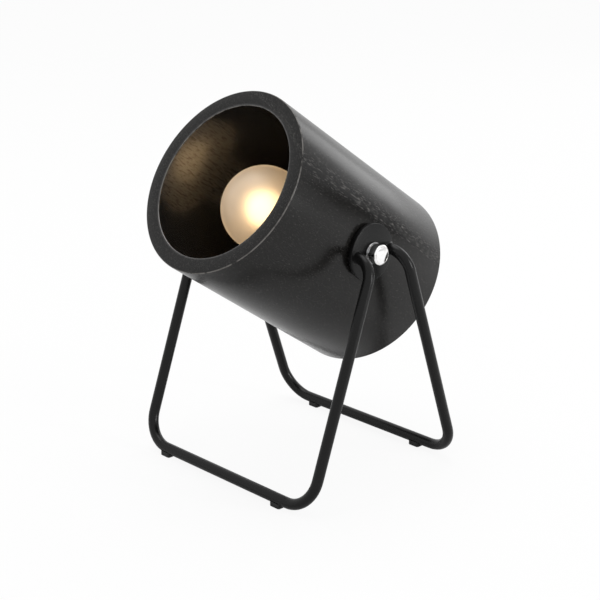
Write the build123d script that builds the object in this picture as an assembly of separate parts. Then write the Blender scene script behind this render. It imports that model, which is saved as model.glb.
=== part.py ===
from build123d import *
from math import cos, radians, sin
import os

# A table lamp: a round wooden shade that tilts between two bent wire frames.
# Millimetres and degrees. +Z is up, the mouth of the shade faces -Y, and the pivot lies along X.
# The origin is on the table, under the middle of the lamp.

# ---------------------------------------------------------------- driving sizes

# shade
shade_radius = 60.0
shade_wall = 10.0
pivot_to_mouth = 78.7
pivot_to_back = 72.8
shade_tilt = 34.3            # how far the mouth points above level
shade_edge_round = 0.7
panel_thickness = 10.0
panel_ledge = 4.0            # how far the back panel is let into the wall
panel_chamfer = 0.5

# stand
pivot_height = 152.0
leg_standoff = 14.3          # pivot plate's face to the middle of a leg
stand_half_depth = 66.1      # pivot to the middle of a bar, along Y
wire_radius = 3.5
lower_bend_radius = 20.0
upper_bend_radius = 13.0

# feet
foot_height = 1.5            # gap between wire and table
foot_length = 8.5
foot_corner = 1.4
foot_edge_round = 0.4
foot_lip = 1.8               # how far a foot reaches up beside the wire
foot_peg_radius = 1.5
foot_peg_length = 2.8
foot_places = {              # along each bar
    "front_left_foot": -56.0,
    "front_right_foot": 50.0,
    "rear_left_foot": -51.0,
    "rear_right_foot": 45.5,
}

# pivots
plate_radius = 18.0
plate_thickness = 3.0
plate_chamfer = 0.35
plate_standoff = 0.5         # pivot plate to the shade's side
spot_face_radius = 9.0
spot_face_depth = 0.6
friction_washer_radius = 8.4
knob_washer_radius = 6.7
knob_washer_thickness = 1.4
knob_radius = 6.3
knob_length = 7.2
knob_crown = 0.7
knob_chamfer = 0.7
knob_neck_radius = 5.7
knob_neck_length = 0.9
stud_radius = 2.5
stud_in_knob = 4.5
stud_in_insert = 6.5
insert_radius = 4.0
insert_length = 7.4
insert_groove_depth = 0.4
insert_groove_width = 0.9
insert_groove_count = 3

# back fittings
nipple_radius = 5.0
nipple_bore_radius = 3.9
nipple_outside = 8.5         # reaches out behind the grip washer
star_washer_radius = 8.0
star_washer_thickness = 1.0
star_washer_teeth = 10
star_tooth_depth = 1.6
star_tooth_gap = 1.6
locknut_flats = 14.0
locknut_thickness = 3.0
grip_washer_radius = 9.5
grip_washer_thickness = 1.0
grip_length = 20.0
grip_root_radius = 8.5
grip_tip_radius = 6.2
grip_cord_radius = 3.3
grip_edge_round = 0.8
grip_screw_radius = 1.5
grip_screw_head_radius = 2.4
grip_screw_head_depth = 1.2
grip_screw_from_tip = 6.0
screw_slot_width = 0.6
screw_slot_depth = 0.6

# lampholder
holder_length = 49.7
holder_room = 1.75           # round the screw shell, inside the casing
holder_mouth_gap = 0.6       # screw shell to the edge of the casing's mouth
holder_lip_taper = 0.6
holder_dome_radius = 11.0
holder_dome_height = 11.0
holder_cap_length = 22.5
holder_cap_wall = 2.4
holder_boss_length = 9.0
holder_spigot_length = 6.0
holder_spigot_wall = 2.0
holder_base_to_bulb = 24.9   # along the lampholder, its base to the bulb's contact
carrier_thickness = 6.0
carrier_to_bulb = 3.2        # carrier's face to the bulb's contact
contact_strip_width = 5.0
contact_strip_thickness = 0.5
terminal_offset = 8.2
terminal_screw_radius = 1.5
terminal_head_radius = 2.8
terminal_head_height = 2.0

# bulb
bulb_radius = 27.0
bulb_length = 98.0
bulb_shoulder_angle = 40.0
bulb_neck_step = 0.1         # how far the glass stands inside its cap's rim
bulb_glass_wall = 0.8
bulb_cap_length = 24.3       # rim to contact
bulb_cap_rim_flare = 0.65    # rim past the thread's mean radius
bulb_cap_rim_length = 4.0
bulb_cap_wall = 0.4
thread_radius = 12.65        # mean radius of the rolled thread
thread_height = 0.45         # crest or root to the mean radius
thread_pitch = 3.63
thread_turns = 4
bulb_insulator_tip_radius = 6.0
bulb_contact_radius = 4.8
bulb_contact_height = 1.3
stem_flare_height = 8.0
stem_radius = 3.6
stem_length = 26.0
lead_wire_radius = 0.4
lead_spread = 11.0
filament_radius = 0.45
filament_bow = 9.0

# clearances
running_clearance = 0.08     # shaft in a hole that turns on it
press_clearance = 0.02       # pressed or glued fits
thread_clearance = 0.05      # screwed fits
face_clearance = 0.1         # faces that slide or seat
panel_clearance = 0.1
bulb_clearance = 0.3         # bulb to lampholder
strip_clearance = 0.05

# ---------------------------------------------------------------- derived places

bore_radius = shade_radius - shade_wall
pivot_y = (pivot_to_mouth - pivot_to_back) / 2 * cos(radians(shade_tilt))
bar_height = foot_height + wire_radius
wire_offset = plate_radius - wire_radius      # pivot to a wire's end, along Y

spot_face_x = shade_radius - spot_face_depth
plate_inner_x = shade_radius + plate_standoff
plate_outer_x = plate_inner_x + plate_thickness
stand_half_width = plate_outer_x + leg_standoff
knob_base_x = plate_outer_x + knob_washer_thickness + 2 * face_clearance
knob_end_x = knob_base_x + knob_length

back_z = -pivot_to_back
panel_inner_z = back_z + panel_thickness
locknut_z = panel_inner_z + star_washer_thickness
holder_base_z = locknut_z + locknut_thickness + face_clearance
holder_mouth_z = holder_base_z + holder_length
cap_joint_z = holder_base_z + holder_cap_length
bulb_tip_z = holder_base_z + holder_base_to_bulb
bulb_centre_z = bulb_tip_z + bulb_length - bulb_radius
bulb_contact_z = bulb_tip_z + bulb_contact_height
bulb_cap_rim_z = bulb_contact_z + bulb_cap_length
bulb_neck_end_z = bulb_cap_rim_z - bulb_cap_rim_length
bulb_cap_rim_radius = thread_radius + bulb_cap_rim_flare
bulb_cap_rim_bore = bulb_cap_rim_radius - bulb_cap_wall
bulb_cap_throat = thread_radius - bulb_cap_wall
bulb_neck_radius = bulb_cap_rim_radius - bulb_neck_step
thread_end_z = bulb_neck_end_z - thread_turns * thread_pitch
carrier_face_z = bulb_tip_z - carrier_to_bulb
strip_top_z = carrier_face_z + contact_strip_thickness
sleeve_crest_radius = thread_radius + bulb_clearance + bulb_cap_wall + thread_height
holder_mouth_radius = sleeve_crest_radius + holder_mouth_gap
holder_inner_radius = sleeve_crest_radius + holder_room
holder_spigot_radius = holder_inner_radius + holder_spigot_wall
holder_radius = holder_spigot_radius + thread_clearance + holder_cap_wall
holder_lip_radius = holder_radius - holder_lip_taper


# ---------------------------------------------------------------- helpers

def place_head(shape):
    """Shade frame (Z out of the mouth, origin at the pivot) to the lamp's frame."""
    return Pos(0, pivot_y, pivot_height) * Rot(90 - shade_tilt, 0, 0) * shape


def place_pivot(shape):
    """Pivot frame (Z along +X, origin at the pivot) to the lamp's frame."""
    return Pos(0, pivot_y, pivot_height) * Rot(0, 90, 0) * shape


def place_side(shape, side):
    """A right-hand piece as it is, or turned half round Z for the left side."""
    if side == "right":
        return shape
    return Pos(0, pivot_y, 0) * Rot(0, 0, 180) * Pos(0, -pivot_y, 0) * shape


def rod(radius, low, high):
    return Pos(0, 0, low) * Cylinder(radius, high - low, align=(Align.CENTER, Align.CENTER, Align.MIN))


def ring(outer, inner, low, high):
    return rod(outer, low, high) - rod(inner, low, high)


def turned(*outline):
    """Solid turned about Z from an outline of (radius, height) points."""
    return revolve(Plane.XZ * make_face(Polyline(*outline, close=True)), Axis.Z)


def round_edges(shape, heights, size):
    """Round the circular edges of a turned piece that lie at these heights."""
    edges = [e for e in shape.edges().filter_by(GeomType.CIRCLE)
             if any(abs(e.center().Z - h) < 1e-4 for h in heights)]
    return fillet(edges, size)


# ---------------------------------------------------------------- shade

def pivot_recess():
    """Spot face and insert hole on the +X side of the shade."""
    hole_depth = insert_length + face_clearance
    spot = rod(spot_face_radius, spot_face_x, shade_radius + plate_thickness)
    hole = rod(insert_radius + press_clearance, spot_face_x - hole_depth, spot_face_x)
    return Rot(0, 90, 0) * (spot + hole)


def shade_tube():
    tube = rod(shade_radius, back_z, pivot_to_mouth) - rod(bore_radius, back_z, pivot_to_mouth)
    tube = round_edges(tube, (back_z, pivot_to_mouth), shade_edge_round)
    tube -= rod(bore_radius + panel_ledge, back_z, panel_inner_z)
    recess = pivot_recess()
    return place_head(tube - recess - Rot(0, 0, 180) * recess)


def back_panel():
    radius = bore_radius + panel_ledge - panel_clearance
    panel = rod(radius, back_z, panel_inner_z)
    rim = panel.edges().filter_by(GeomType.CIRCLE).group_by(Axis.Z)[0]
    panel = chamfer(rim, panel_chamfer)
    return place_head(panel - rod(nipple_radius + press_clearance, back_z, panel_inner_z))


# ---------------------------------------------------------------- stand

def wire_frame(direction):
    """One bent wire: end, leg, bar, leg, end. direction is -1 for the front one, +1 for the rear."""
    top_y = pivot_y + direction * wire_offset
    bar_y = pivot_y + direction * stand_half_depth
    points = [
        (plate_outer_x, top_y, pivot_height),
        (stand_half_width, top_y, pivot_height),
        (stand_half_width, bar_y, bar_height),
        (-stand_half_width, bar_y, bar_height),
        (-stand_half_width, top_y, pivot_height),
        (-plate_outer_x, top_y, pivot_height),
    ]
    bends = [upper_bend_radius, lower_bend_radius, lower_bend_radius, upper_bend_radius]
    path = FilletPolyline(*points, radius=bends)
    wire = sweep(Plane(path @ 0, z_dir=path % 0) * Circle(wire_radius), path)
    for name, x in foot_places.items():
        if name.startswith("front") == (direction < 0):
            wire -= Pos(x, bar_y, 0) * rod(
                foot_peg_radius + press_clearance, 0, foot_height + foot_peg_length + face_clearance)
    return wire


def foot(name):
    direction = -1 if name.startswith("front") else 1
    block_height = foot_height + foot_lip
    block = Box(foot_length, 2 * wire_radius, block_height, align=(Align.CENTER, Align.CENTER, Align.MIN))
    block = fillet(block.edges().filter_by(Axis.Z), foot_corner)
    block = fillet(block.faces().sort_by(Axis.Z)[0].edges(), foot_edge_round)
    groove = Cylinder(wire_radius + press_clearance, 2 * foot_length, rotation=(0, 90, 0))
    block -= Pos(0, 0, bar_height) * groove
    peg = rod(foot_peg_radius, foot_height / 2, foot_height + foot_peg_length)
    return Pos(foot_places[name], pivot_y + direction * stand_half_depth, 0) * (block + peg)


def pivot_plate(side):
    plate = rod(plate_radius, plate_inner_x, plate_outer_x)
    plate = chamfer(plate.edges().filter_by(GeomType.CIRCLE), plate_chamfer)
    plate -= rod(stud_radius + running_clearance, plate_inner_x, plate_outer_x)
    return place_side(place_pivot(plate), side)


# ---------------------------------------------------------------- pivots

def pivot_knob(side):
    """Turned knob: short neck, straight rim, low crown, and a blind hole for the stud."""
    neck_z = knob_base_x + knob_neck_length
    rim_z = knob_end_x - knob_crown
    body = turned(
        (0, knob_base_x), (knob_neck_radius, knob_base_x), (knob_neck_radius, neck_z),
        (knob_radius, neck_z), (knob_radius, rim_z - knob_chamfer),
        (knob_radius - knob_chamfer, rim_z), (0, rim_z),
    )
    crown_radius = knob_radius - knob_chamfer
    sphere_radius = (crown_radius ** 2 + knob_crown ** 2) / (2 * knob_crown)
    ball = Pos(0, 0, knob_end_x - sphere_radius) * Sphere(sphere_radius)
    body += ball & rod(crown_radius, rim_z, knob_end_x)
    body -= rod(stud_radius + press_clearance, knob_base_x, knob_base_x + stud_in_knob + face_clearance)
    return place_side(place_pivot(body), side)


def pivot_stud(side):
    low = spot_face_x - stud_in_insert
    stud = rod(stud_radius, low, knob_base_x + stud_in_knob)
    return place_side(place_pivot(chamfer(stud.edges().filter_by(GeomType.CIRCLE), stud_radius / 6)), side)


def knob_washer(side):
    low = plate_outer_x + face_clearance
    washer = ring(knob_washer_radius, stud_radius + thread_clearance, low, low + knob_washer_thickness)
    washer = round_edges(washer, (low + knob_washer_thickness,), knob_washer_thickness / 4)
    return place_side(place_pivot(washer), side)


def friction_washer(side):
    high = plate_inner_x - face_clearance
    washer = ring(friction_washer_radius, stud_radius + running_clearance, spot_face_x, high)
    return place_side(place_pivot(washer), side)


def threaded_insert(side):
    """Brass insert with ring grooves that grip the wood."""
    low = spot_face_x - insert_length
    body = ring(insert_radius, stud_radius + running_clearance, low, spot_face_x)
    spacing = insert_length / (insert_groove_count + 1)
    for k in range(insert_groove_count):
        middle = low + spacing * (k + 1)
        body -= ring(insert_radius + 1, insert_radius - insert_groove_depth,
                     middle - insert_groove_width / 2, middle + insert_groove_width / 2)
    return place_side(place_pivot(body), side)


# ---------------------------------------------------------------- back fittings

def threaded_nipple():
    low = back_z - grip_washer_thickness - nipple_outside
    high = holder_base_z + holder_boss_length
    return place_head(ring(nipple_radius, nipple_bore_radius, low, high))


def nipple_star_washer():
    washer = ring(star_washer_radius, nipple_radius + thread_clearance, panel_inner_z, locknut_z)
    gap = Pos(star_washer_radius, 0, locknut_z) * Box(2 * star_tooth_depth, star_tooth_gap,
                                                     3 * star_washer_thickness)
    for k in range(star_washer_teeth):
        washer -= Rot(0, 0, 360 / star_washer_teeth * k) * gap
    return place_head(washer)


def nipple_locknut():
    hexagon = RegularPolygon(locknut_flats / 2, 6, major_radius=False)
    nut = Pos(0, 0, locknut_z) * extrude(hexagon, locknut_thickness)
    return place_head(nut - rod(nipple_radius + thread_clearance, locknut_z, holder_base_z))


def grip_washer():
    low = back_z - grip_washer_thickness
    return place_head(ring(grip_washer_radius, nipple_radius + thread_clearance, low, back_z))


def grip_screw_place():
    """Pointing out of the top of the cord grip, at its clamping screw."""
    tip_z = back_z - grip_washer_thickness - grip_length
    return Pos(0, 0, tip_z + grip_screw_from_tip) * Rot(-90, 0, 0)


def grip_radius_at(from_tip):
    return grip_tip_radius + (grip_root_radius - grip_tip_radius) * from_tip / grip_length


def cord_grip():
    root_z = back_z - grip_washer_thickness
    tip_z = root_z - grip_length
    body = turned((0, tip_z), (grip_tip_radius, tip_z), (grip_root_radius, root_z), (0, root_z))
    body = round_edges(body, (tip_z,), grip_edge_round)
    body -= rod(nipple_radius + thread_clearance, root_z - nipple_outside - face_clearance, root_z)
    body -= rod(grip_cord_radius, tip_z, root_z)
    seat = grip_radius_at(grip_screw_from_tip) - grip_screw_head_depth
    body -= grip_screw_place() * rod(grip_screw_radius + thread_clearance, 0, seat)
    body -= grip_screw_place() * rod(grip_screw_head_radius + thread_clearance, seat, 2 * seat)
    return place_head(body)


def grip_screw():
    """Clamping screw, backed out so that the cord's hole is free."""
    seat = grip_radius_at(grip_screw_from_tip) - grip_screw_head_depth
    head_top = seat + grip_screw_head_depth
    screw = rod(grip_screw_radius, grip_cord_radius + face_clearance, seat)
    screw += rod(grip_screw_head_radius, seat, head_top)
    screw -= Pos(0, 0, head_top) * Box(3 * grip_screw_head_radius, screw_slot_width, 2 * screw_slot_depth)
    return place_head(grip_screw_place() * screw)


# ---------------------------------------------------------------- lampholder

def lampholder_cap():
    """Domed rear half, screwed on the nipple."""
    dome_z = holder_base_z + holder_dome_height
    inner = holder_radius - holder_cap_wall
    cap = turned(
        (0, holder_base_z), (holder_dome_radius, holder_base_z), (holder_radius, dome_z),
        (holder_radius, cap_joint_z), (inner, cap_joint_z), (inner, dome_z),
        (holder_dome_radius, holder_base_z + holder_boss_length), (0, holder_base_z + holder_boss_length),
    )
    cap = round_edges(cap, (dome_z,), holder_cap_wall)
    bore = rod(nipple_radius + thread_clearance, holder_base_z, holder_base_z + holder_boss_length)
    return place_head(cap - bore)


def lampholder_shell():
    """Front half with the smooth skirt, its spigot screwed into the cap."""
    joint = cap_joint_z + face_clearance
    spigot = holder_spigot_radius
    spigot_z = joint - holder_spigot_length
    inner = holder_inner_radius
    shoulder_z = carrier_face_z + face_clearance
    shell = turned(
        (holder_mouth_radius, holder_mouth_z), (holder_lip_radius, holder_mouth_z),
        (holder_radius, joint), (spigot, joint), (spigot, spigot_z), (inner, spigot_z),
        (inner, shoulder_z), (holder_mouth_radius, shoulder_z),
    )
    return place_head(round_edges(shell, (holder_mouth_z,), holder_cap_wall / 4))


def terminal_holes(radius, low, high):
    hole = rod(radius, low, high)
    return Pos(terminal_offset, 0, 0) * hole + Pos(-terminal_offset, 0, 0) * hole


def contact_carrier():
    low = carrier_face_z - carrier_thickness
    body = rod(holder_inner_radius - face_clearance, low, carrier_face_z)
    return place_head(body - terminal_holes(terminal_screw_radius + thread_clearance, low, carrier_face_z))


def thread_line(offset):
    """Rolled thread cut as rings: arcs that swing out and in about its mean radius."""
    radius = thread_radius + offset
    line = Curve()
    for k in range(2 * thread_turns):
        top = bulb_neck_end_z - k * thread_pitch / 2
        swing = thread_height if k % 2 == 0 else -thread_height
        line += ThreePointArc((radius, top), (radius + swing, top - thread_pitch / 4),
                              (radius, top - thread_pitch / 2))
    return line


def bulb_cap():
    """Rolled screw shell with a plain rim."""
    rim_out = (bulb_cap_rim_radius, bulb_cap_rim_z)
    rim_in = (bulb_cap_rim_bore, bulb_cap_rim_z)
    outline = Polyline(rim_in, rim_out, (thread_radius, bulb_neck_end_z)) + thread_line(0)
    outline += Line((thread_radius, thread_end_z), (bulb_cap_throat, thread_end_z))
    outline += thread_line(-bulb_cap_wall) + Line((bulb_cap_throat, bulb_neck_end_z), rim_in)
    return place_head(revolve(Plane.XZ * make_face(outline), Axis.Z))


def contact_sleeve():
    """Screw shell of the lampholder, round the bulb's one and clear of it."""
    inner = thread_radius + bulb_clearance
    outer = inner + bulb_cap_wall
    foot_z = strip_top_z + strip_clearance
    outline = Line((inner, bulb_neck_end_z), (outer, bulb_neck_end_z))
    outline += thread_line(bulb_clearance + bulb_cap_wall)
    outline += Polyline((outer, thread_end_z), (outer, foot_z), (inner, foot_z), (inner, thread_end_z))
    outline += thread_line(bulb_clearance)
    return place_head(revolve(Plane.XZ * make_face(outline), Axis.Z))


def strip(*outline):
    """Flat contact spring: an outline in the XZ plane, given its width along Y."""
    face = Plane.XZ * make_face(Polyline(*outline, close=True))
    return extrude(face, contact_strip_width / 2, both=True)


def screw_hole_in_strip(x):
    return Pos(x, 0, 0) * rod(terminal_screw_radius + thread_clearance, carrier_face_z - 1, strip_top_z + 1)


def centre_contact():
    """Spring tongue that rises to the bulb's contact."""
    tip_z = bulb_tip_z - bulb_clearance
    thick = contact_strip_thickness
    inner_end = terminal_offset - contact_strip_width / 2
    outer_end = terminal_offset + contact_strip_width / 2
    tongue = strip(
        (outer_end, carrier_face_z), (outer_end, strip_top_z), (inner_end, strip_top_z),
        (terminal_head_radius / 2, tip_z), (-terminal_head_radius, tip_z),
        (-terminal_head_radius, tip_z - thick), (terminal_head_radius / 2 - thick / 2, tip_z - thick),
        (inner_end - thick / 2, carrier_face_z),
    )
    return place_head(tongue - screw_hole_in_strip(terminal_offset))


def side_contact():
    """Strip from its terminal out under the screw shell's edge."""
    outer_end = -(thread_radius + bulb_clearance + bulb_cap_wall)
    inner_end = -terminal_offset + contact_strip_width / 2
    flat = strip((outer_end, carrier_face_z), (outer_end, strip_top_z),
                 (inner_end, strip_top_z), (inner_end, carrier_face_z))
    return place_head(flat - screw_hole_in_strip(-terminal_offset))


def terminal_screws():
    head_z = carrier_face_z - carrier_thickness
    screw = rod(terminal_screw_radius, head_z, strip_top_z)
    screw += rod(terminal_head_radius, head_z - terminal_head_height, head_z)
    screw -= Pos(0, 0, head_z - terminal_head_height) * Box(
        3 * terminal_head_radius, screw_slot_width, 2 * screw_slot_depth)
    return place_head(Compound([Pos(x, 0, 0) * screw for x in (terminal_offset, -terminal_offset)]))


# ---------------------------------------------------------------- bulb

def bulb_outline(inset):
    """Half outline of a pear bulb, this far inside its skin: ball, hollow shoulder, neck in the cap."""
    radius = bulb_radius - inset
    neck_radius = bulb_neck_radius - inset
    angle = radians(bulb_shoulder_angle)
    join = (radius * cos(angle), bulb_centre_z - radius * sin(angle))
    shoulder = (join[0] - neck_radius) / (1 - cos(angle))
    neck = (neck_radius, join[1] - shoulder * sin(angle))
    half = angle / 2
    middle = (neck_radius + shoulder * (1 - cos(half)), neck[1] + shoulder * sin(half))
    top = (0, bulb_centre_z + radius)
    side = (radius, bulb_centre_z)
    at_rim = (bulb_cap_rim_bore - press_clearance - inset, bulb_cap_rim_z)
    end = (bulb_cap_throat - press_clearance - inset, bulb_neck_end_z)
    outline = ThreePointArc(top, side, join) + ThreePointArc(join, middle, neck)
    return outline + Polyline(neck, at_rim, end, (0, bulb_neck_end_z), top)


def bulb_glass():
    outer = revolve(Plane.XZ * make_face(bulb_outline(0)), Axis.Z)
    inner = revolve(Plane.XZ * make_face(bulb_outline(bulb_glass_wall)), Axis.Z)
    return place_head(outer - inner)


def bulb_insulator():
    """Cone that closes the end of the screw shell."""
    low = bulb_contact_z
    high = thread_end_z - press_clearance
    root_radius = thread_radius - bulb_cap_wall / 2
    body = turned((0, low), (bulb_insulator_tip_radius, low), (root_radius, high), (0, high))
    return place_head(body)


def bulb_contact():
    pip = rod(bulb_contact_radius, bulb_tip_z, bulb_contact_z)
    return place_head(round_edges(pip, (bulb_tip_z,), bulb_contact_height / 2))


def bulb_stem():
    """Glass mount: a flare sealed in the neck's end and a thin tube up from it."""
    low = bulb_neck_end_z
    flare = bulb_cap_throat - bulb_glass_wall - 2 * press_clearance
    tube_top = low + stem_length
    tip = tube_top + stem_radius / 2
    body = turned((0, low), (flare, low), (stem_radius, low + stem_flare_height), (stem_radius, tube_top),
                  (stem_radius / 2, tip), (0, tip))
    hole = rod(lead_wire_radius + press_clearance, low, tip)
    x = stem_radius - 2 * lead_wire_radius
    return place_head(body - Pos(x, 0, 0) * hole - Pos(-x, 0, 0) * hole)


def lead_path(side):
    """Lead wire: straight up through the stem, then out to the filament's end."""
    x = stem_radius - 2 * lead_wire_radius
    top = bulb_neck_end_z + stem_length + stem_radius
    points = [(side * x, 0, bulb_neck_end_z), (side * x, 0, top), (side * lead_spread, 0, bulb_centre_z)]
    return FilletPolyline(*points, radius=[4 * lead_wire_radius])


def bulb_lead_wires():
    wires = []
    for side in (1, -1):
        path = lead_path(side)
        wires.append(sweep(Plane(path @ 0, z_dir=path % 0) * Circle(lead_wire_radius), path))
    return place_head(Compound(wires))


def bulb_filament():
    """Bowed filament between the two lead wires."""
    reach = lead_spread
    lift = bulb_centre_z + filament_radius + lead_wire_radius
    path = ThreePointArc((reach, 0, lift), (0, filament_bow, lift), (-reach, 0, lift))
    return place_head(sweep(Plane(path @ 0, z_dir=path % 0) * Circle(filament_radius), path))


# ---------------------------------------------------------------- write the parts

def all_parts():
    parts = {
        "shade_tube": shade_tube(),
        "back_panel": back_panel(),
        "front_wire_frame": wire_frame(-1),
        "rear_wire_frame": wire_frame(1),
        "threaded_nipple": threaded_nipple(),
        "nipple_star_washer": nipple_star_washer(),
        "nipple_locknut": nipple_locknut(),
        "grip_washer": grip_washer(),
        "cord_grip": cord_grip(),
        "cord_grip_screw": grip_screw(),
        "lampholder_cap": lampholder_cap(),
        "lampholder_shell": lampholder_shell(),
        "contact_carrier": contact_carrier(),
        "contact_sleeve": contact_sleeve(),
        "centre_contact": centre_contact(),
        "side_contact": side_contact(),
        "terminal_screws": terminal_screws(),
        "bulb_glass": bulb_glass(),
        "bulb_cap": bulb_cap(),
        "bulb_insulator": bulb_insulator(),
        "bulb_contact": bulb_contact(),
        "bulb_stem": bulb_stem(),
        "bulb_lead_wires": bulb_lead_wires(),
        "bulb_filament": bulb_filament(),
    }
    for name in foot_places:
        parts[name] = foot(name)
    for side in ("left", "right"):
        parts[side + "_pivot_plate"] = pivot_plate(side)
        parts[side + "_pivot_knob"] = pivot_knob(side)
        parts[side + "_pivot_stud"] = pivot_stud(side)
        parts[side + "_knob_washer"] = knob_washer(side)
        parts[side + "_friction_washer"] = friction_washer(side)
        parts[side + "_threaded_insert"] = threaded_insert(side)
    return parts


os.makedirs("parts", exist_ok=True)
for node, shape in all_parts().items():
    export_step(shape, "parts/" + node + ".step")
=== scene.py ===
import bmesh
import bpy
from math import acos, cos, pi, radians, sin, sqrt, tan
from mathutils import Matrix, Vector


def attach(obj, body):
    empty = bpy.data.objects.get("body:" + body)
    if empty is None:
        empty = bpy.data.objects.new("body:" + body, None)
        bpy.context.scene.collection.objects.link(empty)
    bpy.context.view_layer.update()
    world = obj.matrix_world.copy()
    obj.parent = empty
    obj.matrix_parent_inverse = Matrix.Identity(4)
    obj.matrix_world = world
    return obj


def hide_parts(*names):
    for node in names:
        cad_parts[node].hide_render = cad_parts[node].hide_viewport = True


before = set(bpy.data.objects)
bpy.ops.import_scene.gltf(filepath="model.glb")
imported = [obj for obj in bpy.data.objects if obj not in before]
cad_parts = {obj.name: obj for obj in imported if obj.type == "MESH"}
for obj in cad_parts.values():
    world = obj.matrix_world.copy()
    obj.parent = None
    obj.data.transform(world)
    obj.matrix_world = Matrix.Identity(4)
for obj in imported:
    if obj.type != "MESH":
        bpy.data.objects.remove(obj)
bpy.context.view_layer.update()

mm = 0.001                       # sizes are in millimetres, unless a comment says otherwise

lamp = {
    "pivot": (0.0, 2.437, 152.0),
    "tilt": 34.3,                # how far the mouth of the shade points above level
}
headPlace = tuple(v * mm for v in lamp["pivot"])
headTurn = (radians(90 - lamp["tilt"]), 0, 0)
sideTurn = (0, pi / 2, 0)        # lays the Z axis along X


# modelling helpers

def place(x, y, z):
    return (x * mm, y * mm, z * mm)


def deselectAll():
    if bpy.context.object and bpy.context.object.mode != "OBJECT":
        bpy.ops.object.mode_set(mode="OBJECT")
    bpy.ops.object.select_all(action="DESELECT")


def activate(piece):
    deselectAll()
    piece.select_set(True)
    bpy.context.view_layer.objects.active = piece


def editAll(piece):
    activate(piece)
    bpy.ops.object.mode_set(mode="EDIT")
    bpy.ops.mesh.select_all(action="SELECT")


def takeNew(name):
    # the object just added, named and with its placing in the mesh
    piece = bpy.context.object
    piece.name = name
    piece.data.name = name
    bpy.ops.object.transform_apply(location=True, rotation=True, scale=True)
    return piece


def pick(kind, test):
    # in edit mode: leaves only the faces or edges selected that pass the test
    bpy.ops.mesh.select_all(action="DESELECT")
    bpy.ops.mesh.select_mode(type=kind)
    data = bpy.context.object.data
    mesh = bmesh.from_edit_mesh(data)
    parts = mesh.faces if kind == "FACE" else mesh.edges
    for part in parts:
        part.select_set(test(part))
    mesh.select_flush_mode()
    bmesh.update_edit_mesh(data)


def tidyMesh(merge=0.001):
    bpy.ops.mesh.select_all(action="SELECT")
    bpy.ops.mesh.remove_doubles(threshold=merge * mm)
    bpy.ops.mesh.normals_make_consistent(inside=False)
    bpy.ops.object.mode_set(mode="OBJECT")


def turnPiece(name, rings, steps, ends):
    # turned on the Z axis: a circle at the first ring, extruded and scaled from ring to ring
    # the first end is open or filled; the last is filled, a pole, or joins the first ring
    deselectAll()
    radius, height = rings[0]
    fill = "NGON" if ends[0] == "filled" else "NOTHING"
    bpy.ops.mesh.primitive_circle_add(
        vertices=steps, radius=radius * mm, fill_type=fill, location=place(0, 0, height))
    piece = takeNew(name)
    editAll(piece)
    if ends[0] == "filled":
        bpy.ops.mesh.select_mode(type="EDGE")
    ringsLeft = list(rings[1:])
    if ends[1] == "join":
        ringsLeft.append(rings[0])
    for newRadius, newHeight in ringsLeft:
        lift = (0, 0, (newHeight - height) * mm)
        bpy.ops.mesh.extrude_edges_move(TRANSFORM_OT_translate={"value": lift})
        grow = newRadius / radius
        bpy.ops.transform.resize(value=(grow, grow, 1), center_override=place(0, 0, newHeight))
        radius, height = newRadius, newHeight
    if ends[1] == "filled":
        bpy.ops.mesh.edge_face_add()
    if ends[1] == "pole":
        bpy.ops.mesh.merge(type="CENTER")
    tidyMesh()
    return piece


def onRing(edge, rings, slack=0.02):
    # true where both ends of the edge lie on one of the rings (radius, height)
    for radius, height in rings:
        if all(abs(v.co.z / mm - height) < slack
               and abs(v.co.xy.length / mm - radius) < slack for v in edge.verts):
            return True
    return False


def bevelRings(piece, rings, width, steps):
    editAll(piece)
    pick("EDGE", lambda edge: onRing(edge, rings))
    bpy.ops.mesh.bevel(offset=width * mm, segments=steps, profile=0.5, affect="EDGES")
    bpy.ops.object.mode_set(mode="OBJECT")


def cutAway(piece, cutter, operation="DIFFERENCE"):
    activate(piece)
    cut = piece.modifiers.new("cut", "BOOLEAN")
    cut.object = cutter
    cut.operation = operation
    cut.solver = "EXACT"
    bpy.ops.object.modifier_apply(modifier=cut.name)
    bpy.data.objects.remove(cutter)


def moveInto(piece, location, rotation):
    # puts the piece in its place and leaves its object at the origin
    activate(piece)
    piece.location = location
    piece.rotation_euler = rotation
    bpy.ops.object.transform_apply(location=True, rotation=True, scale=True)


def placeHead(piece):
    moveInto(piece, headPlace, headTurn)


def placePivot(piece, side):
    # turned pieces of the pivot point along +X on the right and along -X on the left
    moveInto(piece, headPlace, (0, pi / 2 if side == "right" else -pi / 2, 0))


def joinPieces(pieces, name):
    deselectAll()
    for piece in pieces:
        piece.select_set(True)
    bpy.context.view_layer.objects.active = pieces[0]
    bpy.ops.object.join()
    pieces[0].name = name
    pieces[0].data.name = name
    return pieces[0]


def smooth(piece, angle):
    activate(piece)
    bpy.ops.object.shade_smooth_by_angle(angle=radians(angle))


def finishPiece(piece, finish, body, slot, *nodes):
    piece.data.materials.clear()
    piece.data.materials.append(finish.material)
    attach(piece, body)
    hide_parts(*nodes)


# shader helpers

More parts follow.
